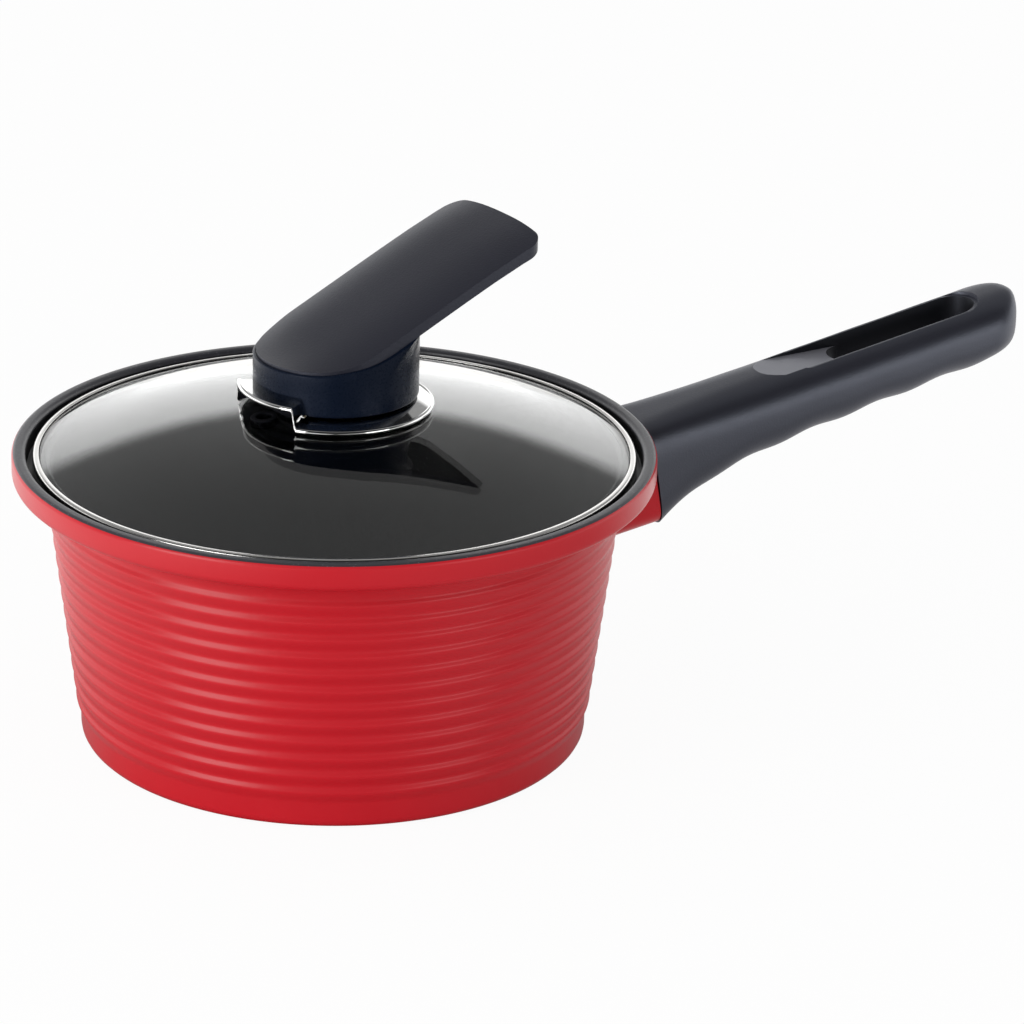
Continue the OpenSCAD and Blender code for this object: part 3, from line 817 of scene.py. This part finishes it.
def lever_top(x, y=0.0):
    crown = CROWN * abs(y / LEVER_HALF) ** 3 - CAMBER * (1 - (max(x, 0) / LEVER_REACH) ** 6)
    if x >= BEND_AT:
        return LEVER_Z + x * tan(LEVER_RISE) - crown
    return BEND_TOP - sqrt(BEND_R ** 2 - (x - BEND_X) ** 2) - crown


print("lever reaches", LEVER_REACH, "mm and rises", round(degrees(LEVER_RISE)), "degrees")

# %% [markdown]
# The drum's wall is spun at an even height. The heights of its upper points are then set by the top line,
# and those of its lower points by the notch over the steam mouth. Under the lever's root the wall flares
# out to meet the plate, and round the other side it rises beside the plate as a thin rim.

# %% Drum of the knob
KNOB_R, DRUM_IN, REBATE_R, KNOB_Z, NOTCH_Z = 24.4, 21.8, 23.6, 106.05, 110.75
NOTCH_HALF, NOTCH_STEP = radians(36.5), radians(2.5)
RIM_HALF, RIM_STEP, RIM_UNDER = radians(82), radians(23), 0.8
UPPER, FLARE_OUT, FLARE_LOW, FLARE_ROWS = 50.0, 4.2, 9.0, 10
UNDER = LEVER_T / cos(LEVER_RISE)
rows = [(DRUM_IN, 0.0), (KNOB_R, 0.0, 0.7)]
rows += [(KNOB_R, UPPER - UNDER - FLARE_LOW * (1 - i / FLARE_ROWS) ** 1.6) for i in range(FLARE_ROWS + 1)]
rows += [(KNOB_R, UPPER - RIM_UNDER, 0.4), (REBATE_R, UPPER - RIM_UNDER), (REBATE_R, UPPER - UNDER)]
rows += [(DRUM_IN, UPPER - UNDER)]
drum = spun(rows, LID_STEPS)
for vert in drum.verts:
    turn = away(vert)
    if vert.co.z < UPPER / 4:
        vert.co.z += KNOB_Z + (NOTCH_Z - KNOB_Z) * mouth_share(turn, NOTCH_HALF, NOTCH_STEP)
        continue
    below = UPPER - vert.co.z
    below = max(below, UNDER - (UNDER - RIM_UNDER) * mouth_share(turn, RIM_HALF, RIM_STEP))
    if vert.co.xy.length > KNOB_R - 0.5:
        spread = FLARE_OUT * max(0.0, -cos(turn)) ** 0.7 * max(0.0, 1 - (below - UNDER) / FLARE_LOW) ** 2.2
        vert.co.xy *= 1 + spread / KNOB_R
        vert.co.y = min(max(vert.co.y, -LEVER_HALF - 1), LEVER_HALF + 1)
    vert.co.z = lever_top(vert.co.x, vert.co.y) - below
finished("knob_drum", drum, "lid", "knob_base", [drum_black], LID_TURN)

# %% [markdown]
# The lever plate starts as one flat outline: a half circle over the drum, straight sides, and two round
# corners at a tip that bows out a little. The outline is cut into strips along and across, the strips follow
# the top line and the crown, and the whole is then drawn down by its thickness and eased along its edges.

# %% Lever plate
LEVER_CORNER, TIP_BOW = 5.0, 0.8
BEND_CUTS = [-22.5 + 1.5 * i for i in range(12)]
STRAIGHT_CUTS = [10.0 * i for i in range(6)]
CROWN_CUTS = [LEVER_HALF * sin(i * pi / 20) for i in range(-9, 10)]
plate = bmesh.new()
corners = [(-LEVER_HALF, -LEVER_HALF), (LEVER_REACH, -LEVER_HALF), (LEVER_REACH, LEVER_HALF),
           (-LEVER_HALF, LEVER_HALF)]
plate.faces.new([plate.verts.new((x, y, 0)) for x, y in corners])
rounded(plate, [v for v in plate.verts if v.co.x < 0], LEVER_HALF - 0.01, "VERTICES", 40)
rounded(plate, [v for v in plate.verts if v.co.x > 50], LEVER_CORNER, "VERTICES", 14)
for at in BEND_CUTS + STRAIGHT_CUTS:
    sliced(plate, (at, 0, 0), (1, 0, 0))
for at in CROWN_CUTS:
    sliced(plate, (0, at, 0), (0, 1, 0))
for vert in plate.verts:
    vert.co.x -= TIP_BOW * (vert.co.y / LEVER_HALF) ** 2 * max(vert.co.x / LEVER_REACH, 0.0) ** 3
    vert.co.z = lever_top(vert.co.x, vert.co.y)
for vert in drawn_out(plate, plate.faces[:]):
    slope = LEVER_RISE
    if vert.co.x < BEND_AT:
        slope = min(LEVER_RISE, asin((vert.co.x - BEND_X) / BEND_R))
    vert.co += Vector((0, 0, -LEVER_T / cos(slope)))
outwards(plate)
# Faces that look down get the matt black, as painted shade under the plate.
for face in plate.faces:
    face.material_index = 1 if face.normal.z < -0.3 else 0
eased(plate, limit=50, width=1.0, segments=4)
finished("lever_blade", plate, "lid", "lever_plate", [lever_black, painted_shade_black], LID_TURN)

# %% [markdown]
# Under the glass a seal, a washer, a spring washer and a screw hold the knob. They show when the lid is
# lifted, so the seal, the washer and the screw are turned with soft edges, and the screw's head gets its
# cross. The eyelet of the steam hole is turned in the same way and then tilted square to the glass.

# %% Seal, washer and screw
SMALL_STEPS, SCREW_STEPS = 96, 64
SEAL_R, SEAL_HOLE, SLEEVE_R, SEAL_T = 11.0, 3.3, 5.8, 1.2
WASHER_R, WASHER_HOLE, WASHER_T, SPRING_T = 9.0, 3.1, 1.2, 1.6
HEAD_R, HEAD_T, HEAD_ROUND, SHANK_R, SHANK_TOP, SHANK_ROUND = 6.0, 4.2, 2.4, 3.0, 117.1, 0.6
CROSS_LEN, CROSS_W, CROSS_T = 5.6, 1.1, 5.0
SEAL_Z = DOME_TOP - GLASS - SEAL_T
WASHER_Z = SEAL_Z - WASHER_T
SPRING_Z = WASHER_Z - SPRING_T
HEAD_Z = SPRING_Z - HEAD_T
sleeve_top = DOME_TOP - 0.1
seal = [(SEAL_HOLE, SEAL_Z), (SEAL_R, SEAL_Z, 0.4), (SEAL_R, SEAL_Z + 0.9, 0.2), (SLEEVE_R, SEAL_Z + 1.1),
        (SLEEVE_R, sleeve_top), (SEAL_HOLE, sleeve_top)]
finished("lower_seal", spun(seal, SMALL_STEPS), "lid", "lower_gasket", [seal_grey], LID_TURN)
washer = [(WASHER_HOLE, WASHER_Z), (WASHER_R, WASHER_Z, 0.25), (WASHER_R, SEAL_Z, 0.25),
          (WASHER_HOLE, SEAL_Z)]
finished("lower_disc", spun(washer, SMALL_STEPS), "lid", "lower_washer", [band_steel],
         LID_TURN)

screw = [(0, HEAD_Z), (HEAD_R, HEAD_Z, HEAD_ROUND), (HEAD_R, SPRING_Z), (SHANK_R, SPRING_Z),
         (SHANK_R, SHANK_TOP, SHANK_ROUND), (0, SHANK_TOP)]
cross = bmesh.new()
for size in ((CROSS_LEN, CROSS_W, CROSS_T), (CROSS_W, CROSS_LEN, CROSS_T)):
    arm = bmesh.ops.create_cube(cross, size=1.0)["verts"]
    bmesh.ops.scale(cross, vec=size, verts=arm)
moved(cross, (0, 0, HEAD_Z))
finished("knob_screw_head", carved(spun(screw, SCREW_STEPS), cross), "lid", "knob_screw",
         [band_steel], LID_TURN)

# %% Eyelet of the steam hole
VENT_R, VENT_AT, FLANGE, FLANGE_T, SLEEVE_T = 3.0, 24.5, 1.0, 0.4, 0.5
FLANGE_R, VENT_TURN = VENT_R + FLANGE, asin(VENT_AT / DOME_R)
UNDER_GLASS, OVER_GLASS = -4.2, 0.1
eyelet_in, eyelet_out = VENT_R - 0.1 - SLEEVE_T, VENT_R - 0.1
eyelet_low, eyelet_high = UNDER_GLASS - FLANGE_T, OVER_GLASS + FLANGE_T
eyelet = spun([(eyelet_in, eyelet_low), (FLANGE_R, eyelet_low, 0.15), (FLANGE_R, UNDER_GLASS),
               (eyelet_out, UNDER_GLASS), (eyelet_out, OVER_GLASS), (FLANGE_R, OVER_GLASS),
               (FLANGE_R, eyelet_high, 0.2), (eyelet_in, eyelet_high, 0.15)], SCREW_STEPS)
moved(eyelet, (0, 0, DOME_R))
turned(eyelet, -VENT_TURN, "Y")
moved(eyelet, (0, 0, DOME_Z))
# The eyelet is matt black, as painted shade in the steam mouth.
finished("vent_eyelet", eyelet, "lid", "steam_eyelet", [painted_shade_black], LID_TURN)

# %% [markdown]
# The pieces that stay hidden in the knob, in the handle or under the collar, and the small spring washer
# under the lid, are good as they are. They keep their solids, and only their finishes are set.

# %% Finishes of the kept solids
kept = {"handle_screw": zinc_steel, "handle_washer": zinc_steel, "handle_spring_washer": zinc_steel,
        "lever_screws": zinc_steel, "knob_insert": insert_brass, "collar_gasket": seal_grey,
        "lower_spring_washer": band_steel}
for node, finish in kept.items():
    frame["nodes"][node].data.materials.clear()
    frame["nodes"][node].data.materials.append(finish)
print("kept solids finished:", len(kept))

# %% [markdown]
# The stage is a white studio: a pale paper floor, a white sky and two soft lamps. Light Path tells what
# kind of ray asks for a colour. The camera, and a ray that has come through glass, find a white ground; a
# little of the lit paper is mixed in, so that the pan keeps its shadow. A mirror ray finds the studio's
# cards instead: a bright one behind the pan, others at its sides and a dark gap between, which give the
# enamel, the steel and the glass their streaks.

# %% Floor
BACK, SIDE = (0.407, 0.914, 0.0), (0.914, -0.407, 0.0)
PAPER_HALF, PAPER_DROP, WHITE_SHARE = 6.0, 0.0004, 0.95
floor_mesh = bmesh.new()
bmesh.ops.create_grid(floor_mesh, x_segments=1, y_segments=1, size=PAPER_HALF)
floor_data = bpy.data.meshes.new("studio_floor")
floor_mesh.to_mesh(floor_data)
floor_mesh.free()
floor = bpy.data.objects.new("studio_floor", floor_data)
floor.location.z = -PAPER_DROP
bpy.context.scene.collection.objects.link(floor)

paper = Finish("studio_paper", Roughness=0.9, Specular_IOR_Level=0.1)
paper.join(Base_Color=paper.blend(paper.noise(3.0), (0.84, 0.84, 0.84), (0.87, 0.87, 0.87)))
warm_card = {"stops": [(0.44, (0.04, 0.04, 0.04, 1)), (0.66, (1.20, 1.18, 1.16, 1))]}
back_card = paper.node("ShaderNodeValToRGB", warm_card, {"Fac": 0.5 + paper.reach(paper.place, BACK)})
side_cards = paper.ramp(0.5 + paper.reach(paper.place, SIDE), (0.24, 1.6), (0.40, 0.45), (0.47, 0.04),
                        (0.51, 0.04), (0.59, 0.36), (0.84, 0.32), (1.0, 1.3))
lighter = {"data_type": "RGBA", "blend_type": "LIGHTEN"}
cards = paper.node("ShaderNodeMix", lighter, {0: 1.0, 6: back_card, 7: side_cards}, 2)
white = paper.node("ShaderNodeEmission", None, {"Color": (1, 1, 1, 1), "Strength": 1.0})
shine = paper.node("ShaderNodeEmission", None, {"Color": cards, "Strength": 1.0})
lit = Wire(paper, paper.shader.outputs[0])
seen = paper.ray("Is Camera Ray") + paper.ray("Is Transmission Ray")
ground = paper.node("ShaderNodeMixShader", None, {0: WHITE_SHARE * seen, 1: lit, 2: white})
mixed = paper.node("ShaderNodeMixShader", None, {0: paper.ray("Is Glossy Ray"), 1: ground, 2: shine})
paper.tree.links.new(mixed.socket, paper.tree.nodes["Material Output"].inputs["Surface"])
floor_data.materials.append(paper.material)
print("floor:", floor.name, "with", paper.material.name)

# %% [markdown]
# The sky is white for the camera. For a mirror or a pane it is bright low down behind the pan and falls off
# to grey overhead, as a studio's dark ceiling does, which keeps the front of the glass clear. For all other
# rays it is an even light that is a little stronger on the left.

# %% Sky
MIRROR_LEVEL, FILL_LEVEL, FILL_LEAN = 1.5, 0.72, 0.27
world = bpy.data.worlds.new("studio_sky")
bpy.context.scene.world = world
world.use_nodes = True
sky = Board(world.node_tree)
direction = sky.node("ShaderNodeTexCoord", out="Generated")
height = sky.node("ShaderNodeSeparateXYZ", None, {0: direction}, "Z")
ceiling = sky.ramp(height, (0.335, 1.0), (0.405, 0.21))
back_wall = sky.ramp(0.5 + 0.5 * sky.reach(direction, BACK), (0.40, 0.05), (0.62, 1.0))
mirror = sky.ray("Is Glossy Ray").larger(sky.ray("Is Transmission Ray"))
mirrored = MIRROR_LEVEL * mirror * ceiling * back_wall
fill = (1 - mirror) * (FILL_LEVEL - FILL_LEAN * sky.reach(direction, SIDE))
level = sky.ray("Is Camera Ray").larger(mirrored).larger(fill)
sky.tree.links.new(level.socket, sky.tree.nodes["Background"].inputs["Color"])
print("sky:", world.name)

# %% [markdown]
# Two soft boxes model the form: a large one on the left, which draws the long pale streak on the enamel, and
# a weaker one in front on the right for the handle and the other side of the ribs.

# %% Lamps
AIM = Vector((0.03, 0, 0.06))


def lamp(name, place, size, power):
    light = bpy.data.lights.new(name, "AREA")
    light.shape = "RECTANGLE"
    light.size, light.size_y = size
    light.energy = power
    holder = bpy.data.objects.new(name, light)
    holder.location = place
    holder.rotation_euler = (AIM - Vector(place)).to_track_quat("-Z", "Y").to_euler()
    bpy.context.scene.collection.objects.link(holder)
    return holder


lamps = [lamp("left_softbox", (-1.40, -0.38, 0.45), (0.8, 0.9), 10.5),
         lamp("right_softbox", (0.60, -1.32, 0.25), (0.75, 0.50), 2.6)]
bpy.context.scene.view_settings.view_transform = "Standard"
print("lamps:", ", ".join(item.name for item in lamps))
